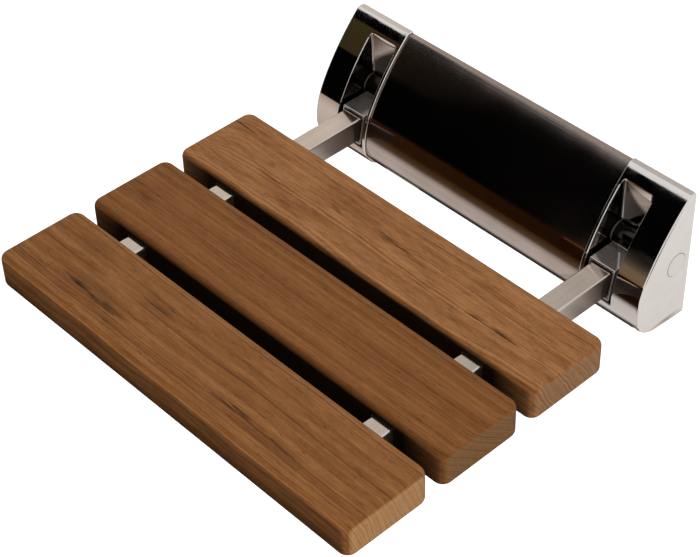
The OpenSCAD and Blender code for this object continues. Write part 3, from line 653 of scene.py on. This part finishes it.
# face is the painted shade on each board's front face, darker towards its foot
wear("slat_rear", teak(
    "golden_brown_teak", (tone(112, 70, 38), tone(140, 94, 56), tone(158, 111, 70)),
    ends=(tone(120, 84, 54), tone(150, 112, 78)), face=(0.75, 0.72, 0.62),
    lean=0.5, shift=(3.1, 1.7, 0.4), warp=0.014, parts=(0.12, 0.53, 0.35), fine=0.15,
    streaks=(
        (-0.044, -0.138, 0.01, 0.002, 0.75), (0.005, -0.1325, 0.022, 0.0035, 0.65),
        (0.036, -0.1345, 0.022, 0.0015, 0.65), (0.1, -0.1475, 0.009, 0.002, 0.8),
        (0.124, -0.1475, 0.014, 0.002, 0.85), (-0.148, -0.155, 0.014, 0.0015, 0.75),
        (-0.163, -0.12, 0.02, 0.0012, 0.75), (-0.1, -0.147, 0.012, 0.0012, 0.6),
        (0.09, -0.106, 0.035, 0.0009, 0.5)),
    clouds=((0.085, -0.112, 0.03, 0.004, -0.5), (-0.03, -0.13, 0.05, 0.01, 0.3)),
    knots=((-0.187, -0.14, 0.04, 0.05, 0.014), (0.012, -0.132, 0.03, 0.01, 0.004))))
wear("slat_middle", teak(
    "red_brown_teak", (tone(96, 58, 29), tone(117, 74, 38), tone(134, 89, 50)),
    ends=(tone(104, 72, 42), tone(128, 92, 58)), face=(0.7, 0.7, 0.6),
    lean=0.9, shift=(7.3, 4.2, 2.2), warp=0.003, parts=(0.3, 0.3, 0.4), fine=0.14,
    streaks=((-0.15, -0.222, 0.012, 0.002, 0.4),),
    clouds=((-0.15, -0.222, 0.016, 0.006, 0.5), (0.02, -0.23, 0.08, 0.007, -0.25))))
wear("slat_front", teak(
    "mid_brown_teak", (tone(98, 60, 30), tone(124, 80, 43), tone(146, 101, 60)),
    ends=(tone(146, 106, 66), tone(176, 132, 88)), face=(0.58, 0.56, 0.5),
    lean=0.3, shift=(11.9, 8.4, 5.5), warp=0.008, parts=(0.35, 0.35, 0.3), fine=0.15,
    streaks=(
        (-0.108, -0.3112, 0.018, 0.0028, 1.0), (-0.082, -0.3125, 0.022, 0.0032, 1.0),
        (0.06, -0.3155, 0.028, 0.0024, 0.95), (-0.05, -0.289, 0.02, 0.0025, 0.6),
        (0.1, -0.3165, 0.018, 0.0014, 0.6)),
    clouds=(
        (-0.1, -0.31, 0.05, 0.012, 0.6), (-0.05, -0.289, 0.022, 0.005, 0.5),
        (-0.09, -0.295, 0.03, 0.006, -0.5), (-0.13, -0.28, 0.03, 0.01, 0.35))))

# Studio: a pale floor as far below the seat as a floor would be, a white room, two soft lamps, and
# boards and a table that only mirrors see. They are placed for the photograph's view, and give the
# castings the dark upper parts and the light feet that they have in it.
floor_drop, floor_half = -0.45, 6.0
floor_paint = Finish("pale_studio_floor")
floor_paint.shader.inputs["Base Color"].default_value = (0.9, 0.9, 0.9, 1.0)
floor_paint.shader.inputs["Roughness"].default_value = 0.8
floor_paint.shader.inputs["Emission Color"].default_value = (1.0, 1.0, 1.0, 1.0)
rays = floor_paint.add("ShaderNodeLightPath").outputs
seen = floor_paint.sums(rays["Is Camera Ray"], rays["Is Glossy Ray"], "MAXIMUM")
seen = floor_paint.sums(seen, rays["Is Transmission Ray"], "MAXIMUM")
floor_paint.set("Emission Strength", floor_paint.times(seen, 0.5))
# From below the floor is clear, so that the seat's underside can be looked at
clear = floor_paint.add("ShaderNodeBsdfTransparent").outputs["BSDF"]
from_below = floor_paint.add("ShaderNodeNewGeometry").outputs["Backfacing"]
one_sided = floor_paint.add("ShaderNodeMixShader", {
    0: from_below, 1: floor_paint.shader.outputs["BSDF"], 2: clear}).outputs["Shader"]
floor_paint.tree.links.new(one_sided, floor_paint.tree.nodes["Material Output"].inputs["Surface"])
plane = bpy.data.meshes.new("studio_floor")
plane.from_pydata([
    (floor_half * x, floor_half * y, floor_drop) for x, y in ((-1, -1), (1, -1), (1, 1), (-1, 1))],
    [], [(0, 1, 2, 3)])
plane.materials.append(floor_paint.paint)
floor = bpy.data.objects.new("studio_floor", plane)
bpy.context.scene.collection.objects.link(floor)


def board(name, corners, shades, axis="Y", smear=0.0):
    """A flat board given by its corners in order, seen only in reflections, with its own glow. shades
    lists the colours at their places along the axis; smear moves the places by a slow noise."""
    paint = Finish(name, specular=0.0)
    paint.shader.inputs["Base Color"].default_value = (0, 0, 0, 1)
    along = paint.add("ShaderNodeSeparateXYZ", {0: paint.place}).outputs[axis]
    if smear:
        drift = paint.noise((14, 14, 14), 3.0).outputs["Fac"]
        along = paint.sums(along, paint.spread(drift, -smear, smear))
    first, last = shades[0][0], shades[-1][0]
    stops = [((place - first) / (last - first), colour) for place, colour in shades]
    paint.set("Emission Color", paint.ramp(paint.spread(along, 0.0, 1.0, first, last), stops))
    paint.shader.inputs["Emission Strength"].default_value = 1.0
    paint.shader.inputs["Roughness"].default_value = 1.0
    mesh = bpy.data.meshes.new(name)
    mesh.from_pydata([tuple(map(float, corner)) for corner in corners], [], [(0, 1, 2, 3)])
    mesh.materials.append(paint.paint)
    thing = bpy.data.objects.new(name, mesh)
    thing.visible_camera = thing.visible_diffuse = thing.visible_shadow = thing.visible_transmission = False
    bpy.context.scene.collection.objects.link(thing)


table_z = -0.056
ahead, across = np.array([-0.6, -0.8]), np.array([0.8, -0.6])


def table_piece(name, left, right, front, rear, shades, axis="Y"):
    """A level piece of the table under the seat, between the given limits."""
    corners = [(left, front), (right, front), (right, rear), (left, rear)]
    board(name, [(x, y, table_z) for x, y in corners], shades, axis)


def upright_board(name, distance, corners, shades, smear=0.0):
    """An upright board the distance ahead; its corners are given along across and in height."""
    board(name, [(*(distance * ahead + u * across), v) for u, v in corners], shades, "Z", smear)


# The table's dark parts are painted shadows of the seat and the bracket
unlit, unlit_warm, painted_seat_shadow = (0.06, 0.05, 0.045), (0.06, 0.05, 0.04), (0.02, 0.01, 0.002)
white_near, white_far = (1.0, 0.99, 0.97), (0.95, 0.93, 0.91)
board_black, side_black = (0.001, 0.001, 0.001), (0.004, 0.004, 0.004)
table_piece("table_beside", 0.165, 0.75, -0.05, 0.5, [(0.165, white_far), (0.22, white_near)], "X")
table_piece("table_beside_arm", 0.145, 0.165, -0.05, 0.5, [
    (-0.05, unlit), (-0.0445, unlit), (-0.043, (1.0, 0.95, 0.9)), (-0.03, (0.9, 0.84, 0.78)),
    (-0.012, (0.5, 0.46, 0.42)), (0.005, (0.9, 0.87, 0.84))])
table_piece("table_right", 0.21, 0.75, -0.7, -0.05, [(-0.7, white_far), (-0.05, white_near)])
table_piece("table_left", -0.9, -0.45, -0.3, 0.5,
            [(-0.9, (0.6, 0.55, 0.5)), (-0.45, (0.85, 0.79, 0.73))], "X")
table_piece("table_ahead", -0.9, 0.21, -0.7, -0.35, [(-0.7, (0.01, 0.005, 0.001)), (-0.35, painted_seat_shadow)])
table_piece("table_far_left", -0.9, -0.45, -0.35, -0.3, [(-0.35, painted_seat_shadow), (-0.3, (0.1, 0.08, 0.06))])
table_piece("table_below", -0.45, 0.075, -0.35, -0.05, [
    (-0.35, painted_seat_shadow), (-0.16, (0.1, 0.05, 0.015)), (-0.139, (0.14, 0.075, 0.035)),
    (-0.12, (0.17, 0.12, 0.09)), (-0.112, (0.34, 0.29, 0.26)), (-0.105, (0.62, 0.56, 0.52)),
    (-0.096, (0.86, 0.82, 0.79)), (-0.088, (0.94, 0.92, 0.9)), (-0.058, (0.94, 0.92, 0.9)),
    (-0.05, (0.25, 0.22, 0.2))])
table_piece("table_below_right_end", 0.075, 0.21, -0.35, -0.05, [
    (-0.35, (0.004, 0.002, 0.001)), (-0.139, (0.012, 0.005, 0.002)), (-0.12, (0.03, 0.015, 0.008)),
    (-0.112, (0.25, 0.2, 0.17)), (-0.105, (0.5, 0.45, 0.42)), (-0.096, (0.72, 0.68, 0.65)),
    (-0.058, (0.78, 0.75, 0.73)), (-0.05, (0.25, 0.22, 0.2))])
for name, left, right in (("table_under_left_end", -0.45, -0.1), ("table_under_cover", -0.065, 0.145)):
    table_piece(name, left, right, -0.05, 0.4, [(-0.05, unlit), (0.4, unlit_warm)])
table_piece("table_under_left_arm", -0.1, -0.065, -0.05, 0.4, [
    (-0.05, unlit), (-0.045, unlit), (-0.042, (0.6, 0.54, 0.49)), (-0.03, (0.5, 0.44, 0.39)),
    (-0.012, (0.25, 0.2, 0.15)), (0.01, (0.08, 0.07, 0.06))])
cream_z = table_z + 0.0005
board("table_below_left_end", [
    (-0.9, -0.7, cream_z), (-0.6, -0.7, cream_z), (-0.113, -0.05, cream_z), (-0.9, -0.05, cream_z)], [
    (-0.7, (0.42, 0.34, 0.28)), (-0.35, (0.58, 0.48, 0.41)), (-0.15, (0.74, 0.64, 0.57)),
    (-0.1, (0.72, 0.62, 0.55)), (-0.06, (0.62, 0.52, 0.45))])
# A dark sheet at the rear slat's rear side, seen only by mirrors: painted shade, darker than the lamps would
# leave it
seat_rear, seat_foot = -0.1015, -0.029
for name, left, right, top in (
        ("shaded_rear_of_seat", -0.176, 0.055, 0.0006), ("shaded_rear_right", 0.055, 0.176, -0.0025)):
    corners = [(left, seat_foot), (right, seat_foot), (right, top), (left, top)]
    board(name, [(x, seat_rear, z) for x, z in corners],
          [(-0.1, (0.05, 0.02, 0.006)), (0.12, (0.02, 0.007, 0.001))], "X")
upright_board("black_board", 1.2, [(-0.9, -0.44), (0.46, -0.44), (0.46, 1.318), (-0.9, 0.555)],
              [(0.0, board_black), (1.0, board_black)])
upright_board("dim_board", 1.19, [(-0.115, 0.5), (-0.05, 0.5), (-0.1, 0.95), (-0.3, 0.95)],
              [(0.5, (0.006, 0.005, 0.004)), (0.56, (0.011, 0.009, 0.007)), (0.95, (0.016, 0.013, 0.01))])
upright_board("olive_board", 1.18, [(-0.36, 0.4), (-0.116, 0.48), (-0.229, 0.785), (-0.45, 0.665)],
              [(0.4, (0.044, 0.032, 0.012)), (0.77, (0.05, 0.037, 0.015))])
upright_board("light_patch", 1.18, [(0.31, 0.0), (0.45, 0.0), (0.45, 0.42), (0.31, 0.42)], [
    (0.01, (0.2, 0.12, 0.05)), (0.1, (0.22, 0.15, 0.09)), (0.19, (0.2, 0.14, 0.09)),
    (0.23, (0.09, 0.065, 0.045)), (0.28, (0.045, 0.035, 0.025)), (0.35, (0.018, 0.015, 0.012)),
    (0.39, board_black)], smear=0.03)
board("dark_side", [(1.0, -1.0, -0.2), (1.4, -0.25, -0.2), (1.4, -0.25, 0.3), (1.0, -1.0, 0.3)],
      [(0.0, side_black), (1.0, side_black)])
board("cream_board", [(-2.2, 0.3, 0.5), (-0.2, 1.9, 0.5), (-0.2, 1.9, 2.4), (-2.2, 0.3, 2.4)],
      [(-1.33, (0.86, 0.8, 0.74)), (-1.09, (0.64, 0.61, 0.58))], "X")

world = bpy.data.worlds.new("studio_room")
world.use_nodes = True
bpy.context.scene.world = world
nodes, links = world.node_tree.nodes, world.node_tree.links


def larger(first, second):
    """The larger of two of the room's outputs."""
    node = nodes.new("ShaderNodeMath")
    node.operation = "MAXIMUM"
    links.new(first, node.inputs[0])
    links.new(second, node.inputs[1])
    return node.outputs[0]


# White to the eye and to mirrors, dimmer where it lights the object
room_light = 0.55
paths = nodes.new("ShaderNodeLightPath").outputs
brightness = nodes.new("ShaderNodeMapRange")
brightness.inputs["To Min"].default_value = room_light
links.new(
    larger(larger(paths["Is Camera Ray"], paths["Is Glossy Ray"]), paths["Is Transmission Ray"]),
    brightness.inputs["Value"])
sky = nodes["Background"]
sky.inputs["Color"].default_value = (1.0, 1.0, 1.0, 1.0)
links.new(brightness.outputs["Result"], sky.inputs["Strength"])
lamp_aim = np.array([0.0, -0.2, 0.0])


def soft_lamp(name, place, size, power):
    """A square soft lamp at place, turned towards lamp_aim. Polished metal doesn't show it."""
    lamp = bpy.data.lights.new(name, "AREA")
    lamp.size = size
    lamp.energy = power
    away = np.array(place) - lamp_aim
    away = away / np.linalg.norm(away)
    aside = np.cross([0, 0, 1], away)
    aside = aside / np.linalg.norm(aside)
    turned = np.eye(4)
    turned[:3, 0], turned[:3, 1], turned[:3, 2], turned[:3, 3] = aside, np.cross(away, aside), away, place
    thing = bpy.data.objects.new(name, lamp)
    thing.matrix_world = Matrix(turned.tolist())
    thing.visible_glossy = False
    bpy.context.scene.collection.objects.link(thing)


soft_lamp("key_lamp", (1.3, -1.3, 1.6), 1.2, 30.0)
soft_lamp("back_lamp", (-1.25, 1.1, 1.6), 2.4, 14.5)

bpy.context.scene.view_settings.view_transform = "Standard"
